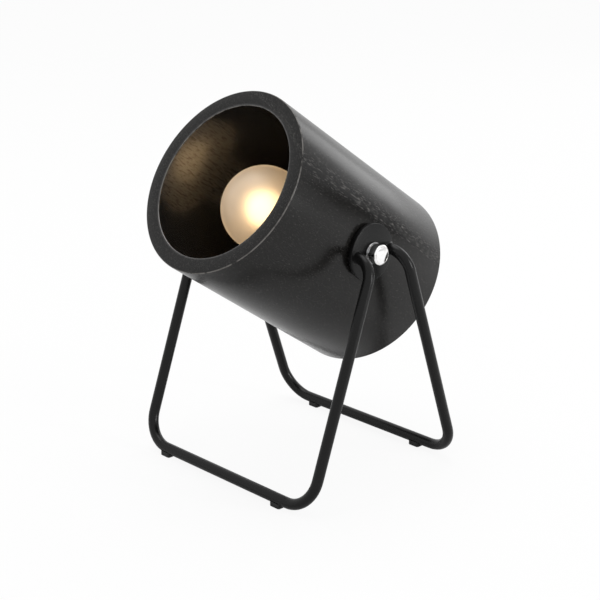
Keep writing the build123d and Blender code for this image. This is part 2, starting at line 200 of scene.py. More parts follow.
class Signal:
    # a number, colour or vector on its way between nodes; arithmetic adds Math nodes
    def __init__(self, finish, socket):
        self.finish = finish
        self.socket = socket

    def output(self, name):
        return Signal(self.finish, self.socket.node.outputs[name])

    def math(self, operation, first, second):
        return self.finish.add("ShaderNodeMath", {"operation": operation}, {0: first, 1: second})

    def __add__(self, other):
        return self.math("ADD", self, other)

    def __radd__(self, other):
        return self.math("ADD", other, self)

    def __sub__(self, other):
        return self.math("SUBTRACT", self, other)

    def __rsub__(self, other):
        return self.math("SUBTRACT", other, self)

    def __mul__(self, other):
        return self.math("MULTIPLY", self, other)

    def __rmul__(self, other):
        return self.math("MULTIPLY", other, self)

    def __truediv__(self, other):
        return self.math("DIVIDE", self, other)

    def __rtruediv__(self, other):
        return self.math("DIVIDE", other, self)

    def __pow__(self, other):
        return self.math("POWER", self, other)

    def __mod__(self, other):
        return self.math("FLOORED_MODULO", self, other)

    def ease(self, low, high):
        # 0 below low, 1 above high, soft between
        return self.finish.add(
            "ShaderNodeMapRange", {"interpolation_type": "SMOOTHSTEP"},
            {"Value": self, "From Min": low, "From Max": high, "To Min": 0.0, "To Max": 1.0})


class Finish:
    # one material and its nodes
    def __init__(self, name):
        self.material = bpy.data.materials.new(name)
        self.material.use_nodes = True
        self.tree = self.material.node_tree
        self.shader = self.tree.nodes["Principled BSDF"]

    def add(self, kind, settings=None, inputs=None):
        node = self.tree.nodes.new(kind)
        for key, value in (settings or {}).items():
            setattr(node, key, value)
        for key, value in (inputs or {}).items():
            self.feed(node.inputs[key], value)
        return Signal(self, node.outputs[0])

    def feed(self, socket, value):
        if isinstance(value, Signal):
            self.tree.links.new(value.socket, socket)
        else:
            socket.default_value = value

    def surface(self, **inputs):
        # Base_Color=... sets or links the shader's Base Color
        for key, value in inputs.items():
            self.feed(self.shader.inputs[key.replace("_", " ")], value)

    def blend(self, factor, first, second):
        node = self.add("ShaderNodeMix", {"data_type": "RGBA"}, {0: factor, 6: first, 7: second})
        return node.output(2)

    def position(self, location=(0, 0, 0), rotation=(0, 0, 0)):
        # the place on the object in millimetres, seen from a centre and turn of its own
        return self.add(
            "ShaderNodeMapping", {"vector_type": "TEXTURE"},
            {"Vector": self.add("ShaderNodeTexCoord").output("Object"),
             "Location": location, "Rotation": rotation, "Scale": (mm, mm, mm)})

    def split(self, vector):
        parts = self.add("ShaderNodeSeparateXYZ", None, {0: vector})
        return [parts.output(axis) for axis in "XYZ"]

    def noise(self, vector, scale, detail, roughness):
        return self.add("ShaderNodeTexNoise", None,
                        {"Vector": vector, "Scale": scale, "Detail": detail, "Roughness": roughness})

    def drawnNoise(self, vector, across, along, detail, roughness):
        # noise drawn out along Z, with a scale across it and one along it
        drawn = self.add("ShaderNodeVectorMath", {"operation": "MULTIPLY"},
                         {0: vector, 1: (across, across, along)})
        return self.noise(drawn, 1.0, detail, roughness)

    def bump(self, height, strength, distance):
        return self.add("ShaderNodeBump", None,
                        {"Height": height, "Strength": strength, "Distance": distance * mm})


def grey(level, warmth=0.0):
    return (level * (1 + warmth), level, level * (1 - warmth), 1.0)


def length(x, y):
    # how far the point lies from the Z axis
    return (x * x + y * y) ** 0.5


print("helpers ready")


# finishes

woodLook = {
    "pith": (-40.0, -69.3),      # where the rings' centre lies, in the head's own X and Y
    "ringGap": 75.0,
    "ringStart": 55.7,
    "ringWander": 3.2,
    "ringFade": (70.0, 120.0),   # the rings near the pith hardly show
    "bandShare": (0.023, 0.077),
    "stain": grey(0.0028, 0.05),
    "paleStain": grey(0.0078, 0.08),
    "poreColour": grey(0.12, 0.06),
    "gloss": 0.18,
    "sheen": 0.24,
    "bump": (0.40, 0.09),
    "bore": (50.2, 51.5),        # satin lacquer from here inwards
    "boreLacquer": 1.0,
    "lacquerGloss": 0.15,
    "lacquerIndex": 1.6,
    "edges": (50.45, 59.35, 77.90),
    "edgeWidth": 0.3,
    # how pale the mouth's edges are painted: partly wear, partly a painted highlight on the rounded edges
    "edgeWearAndHighlight": 1.0,
    "endGrain": (78.50, 78.68),  # the mouth's end grain drinks more stain
    # noise drawn out along the fibres: scale across and along them, detail, roughness
    "sway": (0.016, 0.0045, 2.0, 0.45),
    "fibre": (4.2, 0.10, 3.0, 0.6),
    "streak": (0.50, 0.010, 2.0, 0.5),
    "dash": (1.60, 0.27, 1.0, 0.5),
    "fleck": (2.6, 0.50, 1.0, 0.5),
    "furrow": (0.95, 0.20, 3.0, 0.65),
    # noise alike every way: scale, detail, roughness
    "wearAndHighlightNoise": (0.22, 3.0, 0.6),
    "mottle": (0.9, 2.0, 0.6),
    "speck": (1.15, 1.0, 0.5),
    "cloud": (0.035, 3.0, 0.55),
    # the levels of a noise between which its marks come up
    "cuts": {"dash": (0.59, 0.67), "fleck": (0.65, 0.73), "furrow": (0.46, 0.68),
             "wearAndHighlightNoise": (0.30, 0.55), "speck": (0.56, 0.68)},
    # how much each counts in the pores, the colours, the roughness and the height
    "pores": {"anywhere": 0.06, "early": 0.94, "fleck": 0.35, "inside": 0.6},
    "tone": {"fibre": 0.35, "streak": 0.25, "cloud": 0.20, "mottle": 0.50, "early": 0.60,
             "endGrain": 0.40, "inside": 0.50},
    "paint": {"pore": 0.72, "speck": 0.13},
    "rough": {"early": 0.07, "fibre": 0.05, "pore": 0.20, "mottle": 0.03},
    "height": {"fibre": 0.30, "early": 0.15},
    "furrowDepth": 0.70,
}


def stainedWood(name, look):
    # open-pored wood under thin black lacquer, its fibres along the head's own Z
    wood = Finish(name)
    spot = wood.position(headPlace, headTurn)
    x, y, z = wood.split(spot)
    sway, fibre, streak, dash, fleck, furrow = (
        wood.drawnNoise(spot, *look[key]) for key in ("sway", "fibre", "streak", "dash", "fleck", "furrow"))
    wearAndHighlightNoise, mottle, speck, cloud = (
        wood.noise(spot, *look[key]) for key in ("wearAndHighlightNoise", "mottle", "speck", "cloud"))
    cuts, pores, tone, paint, rough, height = (
        look[key] for key in ("cuts", "pores", "tone", "paint", "rough", "height"))
    reach = length(x, y)
    inside = 1.0 - reach.ease(*look["bore"])
    # a band of early wood in every ring, where the pores are open
    pithX, pithY = look["pith"]
    ring = length(x - pithX, y - pithY) + (sway - 0.5) * look["ringWander"]
    phase = ((ring - look["ringStart"]) / look["ringGap"]) % 1.0
    bandStart, bandEnd = look["bandShare"]
    early = (phase.ease(0.0, bandStart) - phase.ease(bandStart, bandEnd)) * (1.0 - inside)
    early = early * ring.ease(*look["ringFade"])
    pore = dash.ease(*cuts["dash"]) * (pores["anywhere"] + pores["early"] * early)
    pore = (pore + fleck.ease(*cuts["fleck"]) * pores["fleck"]) * (1.0 - inside * pores["inside"])
    # the mouth: pale edges, partly wear and partly a painted highlight along the rim's rounded edges, and
    # open end grain
    innerEdge, outerEdge, mouth = look["edges"]
    width = look["edgeWidth"]
    edge = 1.0 - reach.ease(innerEdge - width, innerEdge) + reach.ease(outerEdge, outerEdge + width)
    # a pale line along the mouth's inner and outer edges, broken up by noise: partly wear and partly a
    # painted highlight
    wornAndHighlitEdge = edge * z.ease(mouth, mouth + width) * wearAndHighlightNoise.ease(*cuts["wearAndHighlightNoise"])
    endGrain = z.ease(*look["endGrain"])
    speck = speck.ease(*cuts["speck"]) * endGrain
    paleness = (fibre * tone["fibre"] + streak * tone["streak"] + cloud * tone["cloud"]
                + mottle * tone["mottle"] - early * tone["early"] - endGrain * tone["endGrain"]
                + inside * tone["inside"])
    wood.surface(
        Base_Color=wood.blend(
            pore * paint["pore"] + speck * paint["speck"] + wornAndHighlitEdge * look["edgeWearAndHighlight"],
            wood.blend(paleness, look["stain"], look["paleStain"]), look["poreColour"]),
        Roughness=(look["gloss"] + early * rough["early"] + fibre * rough["fibre"]
                   + pore * rough["pore"] + mottle * rough["mottle"]),
        Normal=wood.bump(fibre * height["fibre"] - pore - early * height["early"], *look["bump"]),
        Specular_IOR_Level=look["sheen"],
        Coat_Weight=(inside * look["boreLacquer"]
                     * (1.0 - furrow.ease(*cuts["furrow"]) * look["furrowDepth"])),
        Coat_Roughness=look["lacquerGloss"],
        Coat_IOR=look["lacquerIndex"],
    )
    return wood


coatLook = {
    "colour": grey(0.0034), "rubbed": grey(0.007), "roughness": 0.24, "sheen": 0.21, "bump": (0.30, 0.05),
    "peel": (1.5, 2.0, 0.5), "grain": (5.5, 1.0, 0.5), "rub": (0.07, 3.0, 0.6), "rubCut": (0.52, 0.78),
    "rubPaint": 0.6, "grainPaint": 0.3, "rubGloss": 0.07, "grainRough": 0.06, "peelHeight": 0.7,
    "grainHeight": 0.3,
}


def powderCoat(name, look):
    # baked powder: a faint orange peel, finer grains in it and a few rubbed places
    coat = Finish(name)
    spot = coat.position()
    peel, grain, rub = (coat.noise(spot, *look[key]) for key in ("peel", "grain", "rub"))
    rub = rub.ease(*look["rubCut"])
    coat.surface(
        Base_Color=coat.blend(
            rub * look["rubPaint"] + grain * look["grainPaint"], look["colour"], look["rubbed"]),
        Roughness=look["roughness"] + grain * look["grainRough"] - rub * look["rubGloss"],
        Normal=coat.bump(peel * look["peelHeight"] + grain * look["grainHeight"], *look["bump"]),
        Specular_IOR_Level=look["sheen"],
    )
    return coat


metalMarks = {
    "lines": (2.0, 0.6), "tarnish": (3.0, 0.6),       # detail and roughness; each metal gives the scale
    "specks": (2.6, 1.0, 0.5), "tarnishCut": (0.42, 0.75), "speckCut": (0.64, 0.72),
    "tarnishPaint": 0.7, "speckPaint": 0.3, "lineHeight": 0.02,
}


def turnedMetal(name, turn, look):
    # rings left by the lathe or the polishing wheel round the Z of the given turn, and a light tarnish
    metal = Finish(name)
    spot = metal.position(headPlace, turn)
    x, y, z = metal.split(spot)
    groove = metal.add("ShaderNodeCombineXYZ", None, {"X": length(x, y), "Y": z, "Z": 0.0})
    lines = metal.noise(groove, look["lines"], *metalMarks["lines"])
    tarnish = metal.noise(spot, look["tarnish"], *metalMarks["tarnish"]).ease(*metalMarks["tarnishCut"])
    specks = metal.noise(spot, *metalMarks["specks"]).ease(*metalMarks["speckCut"])
    metal.surface(
        Base_Color=metal.blend(
            tarnish * metalMarks["tarnishPaint"] + specks * metalMarks["speckPaint"],
            look["colour"], look["tarnished"]),
        Metallic=1.0,
        Roughness=look["roughness"] + lines * look["lineDepth"] + tarnish * look["dulling"],
        Normal=metal.bump(lines, look["bump"], metalMarks["lineHeight"]),
    )
    return metal


mouldMarks = {
    "spark": (2.0, 0.6),                              # detail and roughness; each part gives the scale
    "flow": (0.10, 0.32, 3.0, 0.55), "dust": (0.9, 3.0, 0.6), "dustCut": (0.56, 0.74),
    "flowPaint": 0.6, "dustPaint": 0.35, "flowGloss": 0.05, "dustHeight": 0.3, "sparkHeight": 0.04,
}


def moulded(name, look):
    # moulded plastic, rubber, ceramic or fibre: spark texture, flow marks and pale, raised dust specks
    part = Finish(name)
    spot = part.position()
    spark = part.noise(spot, look["spark"], *mouldMarks["spark"])
    flow = part.drawnNoise(spot, *mouldMarks["flow"])
    dust = part.noise(spot, *mouldMarks["dust"]).ease(*mouldMarks["dustCut"])
    part.surface(
        Base_Color=part.blend(
            flow * mouldMarks["flowPaint"] + dust * mouldMarks["dustPaint"], look["colour"], look["pale"]),
        Roughness=look["roughness"] + spark * look["mottle"] - flow * mouldMarks["flowGloss"],
        Normal=part.bump(
            spark + dust * mouldMarks["dustHeight"], look["bump"], mouldMarks["sparkHeight"]),
        Specular_IOR_Level=look["sheen"],
    )
    return part


shadeWood = stainedWood("blackStainedWood", woodLook)
panelWood = stainedWood("blackStainedPanel", dict(
    woodLook, pith=(-30.0, 210.0), ringGap=16.0, ringWander=12.0, bandShare=(0.05, 0.30)))
standCoat = powderCoat("blackPowderCoat", coatLook)
chrome = turnedMetal("polishedChrome", sideTurn, {
    "colour": (0.96, 0.96, 0.96, 1), "tarnished": (0.80, 0.78, 0.75, 1), "lines": 5.0, "tarnish": 0.3,
    "roughness": 0.05, "lineDepth": 0.04, "dulling": 0.04, "bump": 0.02})
zinc = turnedMetal("zincSteel", headTurn, {
    "colour": (0.58, 0.60, 0.62, 1), "tarnished": (0.42, 0.41, 0.38, 1), "lines": 2.2, "tarnish": 0.35,
    "roughness": 0.26, "lineDepth": 0.18, "dulling": 0.16, "bump": 0.12})
studZinc = turnedMetal("zincStudSteel", sideTurn, {
    "colour": (0.58, 0.60, 0.62, 1), "tarnished": (0.40, 0.39, 0.36, 1), "lines": 1.4, "tarnish": 0.35,
    "roughness": 0.28, "lineDepth": 0.18, "dulling": 0.16, "bump": 0.15})
brass = turnedMetal("agedBrass", headTurn, {
    "colour": (0.76, 0.56, 0.24, 1), "tarnished": (0.38, 0.25, 0.11, 1), "lines": 2.4, "tarnish": 0.4,
    "roughness": 0.22, "lineDepth": 0.16, "dulling": 0.22, "bump": 0.10})
bulbAluminium = turnedMetal("bulbAluminium", headTurn, {
    "colour": (0.80, 0.80, 0.79, 1), "tarnished": (0.58, 0.57, 0.55, 1), "lines": 1.6, "tarnish": 0.3,
    "roughness": 0.24, "lineDepth": 0.14, "dulling": 0.14, "bump": 0.10})
washerSteel = turnedMetal("washerSteel", sideTurn, {
    "colour": (0.46, 0.46, 0.47, 1), "tarnished": (0.34, 0.33, 0.32, 1), "lines": 5.0, "tarnish": 0.3,
    "roughness": 0.16, "lineDepth": 0.06, "dulling": 0.06, "bump": 0.03})
tungsten = turnedMetal("filamentWire", headTurn, {
    "colour": (0.42, 0.41, 0.40, 1), "tarnished": (0.22, 0.21, 0.20, 1), "lines": 6.0, "tarnish": 1.2,
    "roughness": 0.35, "lineDepth": 0.20, "dulling": 0.15, "bump": 0.20})
rubber = moulded("blackRubber", {
    "colour": grey(0.010), "pale": grey(0.028), "spark": 3.2, "roughness": 0.62, "mottle": 0.22,
    "bump": 0.45, "sheen": 0.35})
nylon = moulded("blackNylon", {
    "colour": grey(0.011), "pale": grey(0.022), "spark": 4.5, "roughness": 0.40, "mottle": 0.16,
    "bump": 0.25, "sheen": 0.5})
phenolic = moulded("blackPhenolic", {
    "colour": (0.012, 0.010, 0.009, 1), "pale": (0.026, 0.021, 0.017, 1), "spark": 2.0, "roughness": 0.20,
    "mottle": 0.12, "bump": 0.12, "sheen": 0.5})
ceramic = moulded("whiteCeramic", {
    "colour": (0.72, 0.70, 0.65, 1), "pale": (0.82, 0.80, 0.76, 1), "spark": 2.8, "roughness": 0.22,
    "mottle": 0.18, "bump": 0.15, "sheen": 0.5})
fibre = moulded("fibreWasher", {
    "colour": (0.016, 0.014, 0.013, 1), "pale": (0.034, 0.031, 0.028, 1), "spark": 5.0, "roughness": 0.70,
    "mottle": 0.20, "bump": 0.50, "sheen": 0.3})
blackGlass = moulded("blackGlassInsulator", {
    "colour": (0.010, 0.009, 0.012, 1), "pale": (0.022, 0.018, 0.026, 1), "spark": 1.4, "roughness": 0.08,
    "mottle": 0.08, "bump": 0.08, "sheen": 0.6})

frostLook = {
    "glass": (0.88, 0.82, 0.73, 1), "etched": (1.0, 0.95, 0.88, 1), "etchPaint": 0.35,
    "glow": (0.96, 0.76, 0.52, 1), "paleGlow": (1.0, 0.82, 0.60, 1), "glowStrength": 0.014,
    "etch": (6.0, 2.0, 0.6), "cloud": (0.06, 2.0, 0.5), "frosting": 0.38, "etchRough": 0.06,
    "cloudRough": 0.04, "clearness": 0.82, "index": 1.45, "bump": (0.08, 0.02),
}


def frostedGlass(name, look):
    # etched inside: a fine frosting over soft clouds, lit through from within
    glass = Finish(name)
    spot = glass.position(headPlace, headTurn)
    etch = glass.noise(spot, *look["etch"])
    cloud = glass.noise(spot, *look["cloud"])
    glass.surface(
        Base_Color=glass.blend(etch * look["etchPaint"], look["glass"], look["etched"]),
        Roughness=look["frosting"] + etch * look["etchRough"] + cloud * look["cloudRough"],
        Transmission_Weight=look["clearness"],
        IOR=look["index"],
        Emission_Color=glass.blend(cloud, look["glow"], look["paleGlow"]),
        Emission_Strength=look["glowStrength"],
        Normal=glass.bump(etch, *look["bump"]),
    )
    return glass


stemLook = {
    "streak": (1.6, 0.12, 2.0, 0.5), "glass": (0.90, 0.95, 0.93, 1), "streaked": (0.98, 1.0, 0.99, 1),
    "roughness": 0.02, "streakRough": 0.05, "index": 1.5, "bump": (0.2, 0.05),
}


def clearGlass(name, look):
    # the pinched stem: clear glass with drawn streaks
    glass = Finish(name)
    streak = glass.drawnNoise(glass.position(headPlace, headTurn), *look["streak"])
    glass.surface(
        Base_Color=glass.blend(streak, look["glass"], look["streaked"]),
        Roughness=look["roughness"] + streak * look["streakRough"],
        Transmission_Weight=1.0,
        IOR=look["index"],
        Normal=glass.bump(streak, *look["bump"]),
    )
    return glass


bulbFrost = frostedGlass("frostedGlass", frostLook)
stemGlass = clearGlass("clearGlass", stemLook)
print("finishes ready")


# shade

shade = {
    "radius": 60.0, "bore": 50.0, "mouth": 78.7, "back": -72.8,
    "seatRadius": 54.0, "seat": -62.8, "edge": 0.7,
    "spotRadius": 9.0, "spotFace": 59.4, "spotTop": 64.0, "insertRadius": 4.02, "insertEnd": 51.9,
    "band": 13.0,                # rings either side of the pivot, so that the spot faces stay local
    "steps": 240, "edgeSteps": 4, "spotSteps": 96, "smooth": 28,
}


def makeShade():
    tube = turnPiece("shadeTube", [
        (shade["radius"], shade["back"]), (shade["radius"], -shade["band"]),
        (shade["radius"], shade["band"]), (shade["radius"], shade["mouth"]),
        (shade["bore"], shade["mouth"]), (shade["bore"], shade["band"]),
        (shade["bore"], -shade["band"]), (shade["bore"], shade["seat"]),
        (shade["seatRadius"], shade["seat"]), (shade["seatRadius"], shade["back"])],
        shade["steps"], ("open", "join"))
    bevelRings(tube, [(shade["radius"], shade["back"]), (shade["radius"], shade["mouth"]),
                      (shade["bore"], shade["mouth"])], shade["edge"], shade["edgeSteps"])
    for side in (1, -1):
        cutter = turnPiece("spotCutter", [
            (shade["insertRadius"], shade["insertEnd"]), (shade["insertRadius"], shade["spotFace"]),
            (shade["spotRadius"], shade["spotFace"]), (shade["spotRadius"], shade["spotTop"])],
            shade["spotSteps"], ("filled", "filled"))
        moveInto(cutter, (0, 0, 0), (0, side * pi / 2, 0))
        cutAway(tube, cutter)
    placeHead(tube)
    smooth(tube, shade["smooth"])
    finishPiece(tube, shadeWood, "shade", "black_stained_wood", "shade_tube")


panel = {
    "radius": 53.9, "hole": 5.02, "back": -72.8, "front": -62.8, "chamfer": 0.5,
    "steps": 192, "chamferSteps": 2, "smooth": 28,
}


def makeBackPanel():
    disc = turnPiece("backPanel", [
        (panel["hole"], panel["back"]), (panel["radius"], panel["back"]),
        (panel["radius"], panel["front"]), (panel["hole"], panel["front"])],
        panel["steps"], ("open", "join"))
    bevelRings(disc, [(panel["radius"], panel["back"])], panel["chamfer"], panel["chamferSteps"])
    placeHead(disc)
    smooth(disc, panel["smooth"])
    finishPiece(disc, panelWood, "shade", "black_stained_wood", "back_panel")


makeShade()
makeBackPanel()
print("shade and back panel done")


# wire stand

stand = {
    "wire": 3.5, "plateFace": 63.5, "halfWidth": 77.8, "halfDepth": 66.1,
    "barHeight": 5.0, "endOffset": 14.5, "upperBend": 13.0, "lowerBend": 20.0,
    "sides": 28, "bendSteps": 14, "smooth": 40,
}


def bendWireFrame(name, direction, node):
    # one wire: a ring at its left end, extruded along the straights and spun round the bends
    pivotY, pivotZ = lamp["pivot"][1:]
    topY = pivotY + direction * stand["endOffset"]
    barY = pivotY + direction * stand["halfDepth"]
    corners = [Vector(c) * mm for c in (
        (-stand["plateFace"], topY, pivotZ), (-stand["halfWidth"], topY, pivotZ),
        (-stand["halfWidth"], barY, stand["barHeight"]), (stand["halfWidth"], barY, stand["barHeight"]),
        (stand["halfWidth"], topY, pivotZ), (stand["plateFace"], topY, pivotZ))]
    bends = [stand["upperBend"], stand["lowerBend"], stand["lowerBend"], stand["upperBend"]]
    deselectAll()
    bpy.ops.mesh.primitive_circle_add(
        vertices=stand["sides"], radius=stand["wire"] * mm, fill_type="NGON",
        location=corners[0], rotation=sideTurn)
    wire = takeNew(name)
    editAll(wire)
    bpy.ops.mesh.select_mode(type="EDGE")
    here = corners[0]
    for k in range(1, len(corners) - 1):
        before = (corners[k] - corners[k - 1]).normalized()
        after = (corners[k + 1] - corners[k]).normalized()
        turn = acos(before.dot(after))
        reach = bends[k - 1] * mm
        start = corners[k] - before * reach * tan(turn / 2)
        bpy.ops.mesh.extrude_edges_move(TRANSFORM_OT_translate={"value": start - here})
        inward = (after - before * before.dot(after)).normalized()
        bpy.ops.mesh.spin(steps=stand["bendSteps"], angle=turn, center=start + inward * reach,
                          axis=-before.cross(after).normalized())
        here = corners[k] + after * reach * tan(turn / 2)
    bpy.ops.mesh.extrude_edges_move(TRANSFORM_OT_translate={"value": corners[-1] - here})
    bpy.ops.mesh.edge_face_add()
    tidyMesh()
    smooth(wire, stand["smooth"])
    finishPiece(wire, standCoat, "stand", "black_powder_coat", node)


bendWireFrame("frontWireFrame", -1, "front_wire_frame")
bendWireFrame("rearWireFrame", 1, "rear_wire_frame")
print("wire frames done")


# pivot plates and the weld beads that hold the wires to them

plate = {
    "radius": 18.0, "hole": 2.58, "inner": 60.5, "outer": 63.5, "edge": 0.35,
    "steps": 160, "edgeSteps": 3, "smooth": 30,
    "bead": [(4.55, 63.45), (4.45, 63.65), (4.15, 63.85), (3.85, 64.1), (3.66, 64.4), (3.5, 64.7),
             (3.2, 64.6), (3.2, 63.45)],
    "beadSteps": 72, "beadSmooth": 50, "ripples": 17, "rippleJitter": (0.35, 3.7), "rippleReach": 0.992,
    "rippleRise": 0.15,          # faces that point less far up than this stay
    "ripple": 0.10, "rippleSwell": (0.6, 0.4, 5.1), "keeper": (17.8, 60.0, 70.0),
}


def layBead(offset):
    # a ring of weld round one wire's end, with the ripples of its run, cut off at the plate's edge
    bead = turnPiece("bead", plate["bead"], plate["beadSteps"], ("open", "join"))
    editAll(bead)
    jitter, jitterTurn = plate["rippleJitter"]
    least, swell, swellTurn = plate["rippleSwell"]
    for k in range(plate["ripples"]):
        middle = 2 * pi * k / plate["ripples"] + jitter * sin(jitterTurn * k)
        toward = Vector((cos(middle), sin(middle), 0))
        pick("FACE", lambda face: (
            face.calc_center_median().xy.normalized().dot(toward.xy) > plate["rippleReach"]
            and face.normal.z > plate["rippleRise"]))
        push = plate["ripple"] * mm * (least + swell * sin(swellTurn * k))
        bpy.ops.transform.translate(value=toward * push)
    tidyMesh()
    moveInto(bead, place(0, offset, 0), (0, 0, 0))
    radius, low, high = plate["keeper"]
    keeper = turnPiece("keeper", [(radius, low), (radius, high)], plate["steps"], ("filled", "filled"))
    cutAway(bead, keeper, "INTERSECT")
    return bead


def makePlate(side):
    disc = turnPiece(side + "PivotPlate", [
        (plate["hole"], plate["inner"]), (plate["radius"], plate["inner"]),
        (plate["radius"], plate["outer"]), (plate["hole"], plate["outer"])],
        plate["steps"], ("open", "join"))
    bevelRings(disc, [(plate["radius"], plate["inner"]), (plate["radius"], plate["outer"])],
               plate["edge"], plate["edgeSteps"])
    smooth(disc, plate["smooth"])
    beads = [layBead(stand["endOffset"]), layBead(-stand["endOffset"])]
    for bead in beads:
        smooth(bead, plate["beadSmooth"])
    disc = joinPieces([disc] + beads, side + "PivotPlate")
    placePivot(disc, side)
    finishPiece(disc, standCoat, "stand", "black_powder_coat", side + "_pivot_plate")


# knobs

knob = {
    "base": 65.1, "neckRadius": 5.7, "neckEnd": 66.0, "radius": 6.3, "rim": 70.9, "crownRadius": 5.6,
    "crownBase": 71.6, "end": 72.3, "boreRadius": 2.52, "boreEnd": 69.7, "edge": 0.16,
    "groove": [(5.44, 71.62), (5.38, 71.36), (5.14, 71.36)], "crown": (5.04, 4.2, 3.3, 2.4, 1.5, 0.6),
    "washerRadius": 6.7, "washerHole": 2.55, "washerLow": 63.6, "washerHigh": 65.0, "washerEdge": 0.35,
    "steps": 96, "edgeSteps": 3, "roundSteps": 4, "breakSteps": 2, "smooth": 30,
}


def makeKnob(side):
    rise = knob["end"] - knob["crownBase"]
    sphere = (knob["crownRadius"] ** 2 + rise ** 2) / (2 * rise)
    crown = [(r, knob["end"] - sphere + sqrt(sphere ** 2 - r ** 2)) for r in knob["crown"]]
    body = turnPiece(side + "PivotKnob", [
        (knob["boreRadius"], knob["boreEnd"]), (knob["boreRadius"], knob["base"]),
        (knob["neckRadius"], knob["base"]), (knob["neckRadius"], knob["neckEnd"]),
        (knob["radius"], knob["neckEnd"]), (knob["radius"], knob["rim"]),
        (knob["crownRadius"], knob["crownBase"])] + knob["groove"] + crown,
        knob["steps"], ("filled", "pole"))
    bevelRings(body, [(knob["radius"], knob["neckEnd"]), (knob["radius"], knob["rim"]),
                      (knob["crownRadius"], knob["crownBase"])], knob["edge"], knob["edgeSteps"])
    placePivot(body, side)
    smooth(body, knob["smooth"])
    finishPiece(body, chrome, side + "_knob", "polished_chrome", side + "_pivot_knob")
    washer = turnPiece(side + "KnobWasher", [
        (knob["washerHole"], knob["washerLow"]), (knob["washerRadius"], knob["washerLow"]),
        (knob["washerRadius"], knob["washerHigh"]), (knob["washerHole"], knob["washerHigh"])],
        knob["steps"], ("open", "join"))
    bevelRings(washer, [(knob["washerRadius"], knob["washerHigh"])], knob["washerEdge"], knob["roundSteps"])
    bevelRings(washer, [(knob["washerRadius"], knob["washerLow"])], knob["edge"], knob["breakSteps"])
    placePivot(washer, side)
    smooth(washer, knob["smooth"])
    finishPiece(washer, washerSteel, side + "_knob", "polished_chrome", side + "_knob_washer")


for side in ("left", "right"):
    makePlate(side)
    makeKnob(side)
print("pivots done")


# feet

foot = {
    "length": 8.5, "width": 7.0, "height": 3.3, "corner": 1.4, "cornerSteps": 6, "edge": 0.4,
    "edgeSteps": 3, "grooveHeight": 5.0, "grooveRadius": 3.52, "grooveLength": 25.5, "grooveSteps": 64,
    "tread": 0.35, "treadInset": 1.1, "downward": -0.99, "smooth": 35,
    "soleArea": 20.0,            # square millimetres; the bevel's own faces are smaller
    "places": {"front_left": -56.0, "front_right": 50.0, "rear_left": -51.0, "rear_right": 45.5},
}


def mouldFoot(key, x):
    direction = -1 if key.startswith("front") else 1
    y = lamp["pivot"][1] + direction * stand["halfDepth"]
    end = key.split("_")
    deselectAll()
    bpy.ops.mesh.primitive_cube_add(size=1, location=place(x, y, foot["height"] / 2))
    bpy.context.object.scale = place(foot["length"], foot["width"], foot["height"])
    block = takeNew(end[0] + end[1].capitalize() + "Foot")
    editAll(block)
    pick("EDGE", lambda edge: abs((edge.verts[0].co - edge.verts[1].co).z) > mm)
    bpy.ops.mesh.bevel(offset=foot["corner"] * mm, segments=foot["cornerSteps"], affect="EDGES")
    pick("FACE", lambda face: face.normal.z < foot["downward"])
    bpy.ops.mesh.bevel(offset=foot["edge"] * mm, segments=foot["edgeSteps"], affect="EDGES")
    # a shallow tread pocket in the sole
    pick("FACE", lambda face: (
        face.normal.z < foot["downward"] and face.calc_area() > foot["soleArea"] * mm * mm))
    bpy.ops.mesh.inset(thickness=foot["treadInset"] * mm, depth=-foot["tread"] * mm)
    tidyMesh()
    deselectAll()
    bpy.ops.mesh.primitive_cylinder_add(
        vertices=foot["grooveSteps"], radius=foot["grooveRadius"] * mm, depth=foot["grooveLength"] * mm,
        location=place(x, y, foot["grooveHeight"]), rotation=sideTurn)
    cutAway(block, bpy.context.object)
    smooth(block, foot["smooth"])
    finishPiece(block, rubber, "stand", "black_rubber", key + "_foot")


for key, x in foot["places"].items():
    mouldFoot(key, x)
print("feet done")


# bulb

bulb = {
    "ball": 27.0, "centre": 37.2, "shoulderAngle": 40.0, "neck": 13.2, "rim": (12.88, -8.2),
    "end": (12.23, -12.2), "wall": 0.8, "steps": 128, "ballRings": 34, "shoulderRings": 12,
}


def makeBulbGlass():
    angle = radians(bulb["shoulderAngle"])
    joinRadius = bulb["ball"] * cos(angle)
    joinHeight = bulb["centre"] - bulb["ball"] * sin(angle)
    shoulder = (joinRadius - bulb["neck"]) / (1 - cos(angle))
    neckHeight = joinHeight - shoulder * sin(angle)
    rings = [bulb["end"], bulb["rim"]]
    for k in range(bulb["shoulderRings"]):
        a = angle * k / bulb["shoulderRings"]
        rings.append((bulb["neck"] + shoulder * (1 - cos(a)), neckHeight + shoulder * sin(a)))
    for k in range(bulb["ballRings"]):
        a = -angle + (pi / 2 + angle) * k / bulb["ballRings"]
        rings.append((bulb["ball"] * cos(a), bulb["centre"] + bulb["ball"] * sin(a)))
    glass = turnPiece("bulbGlass", rings, bulb["steps"], ("open", "pole"))
    activate(glass)
    wall = glass.modifiers.new("wall", "SOLIDIFY")
    wall.thickness = bulb["wall"] * mm
    wall.offset = -1
    bpy.ops.object.modifier_apply(modifier=wall.name)
    placeHead(glass)
    bpy.ops.object.shade_smooth()
    finishPiece(glass, bulbFrost, "bulb", "frosted_glass", "bulb_glass")
    glass.visible_shadow = False    # the light inside reaches the wood


makeBulbGlass()
print("bulb done")


# cord grip

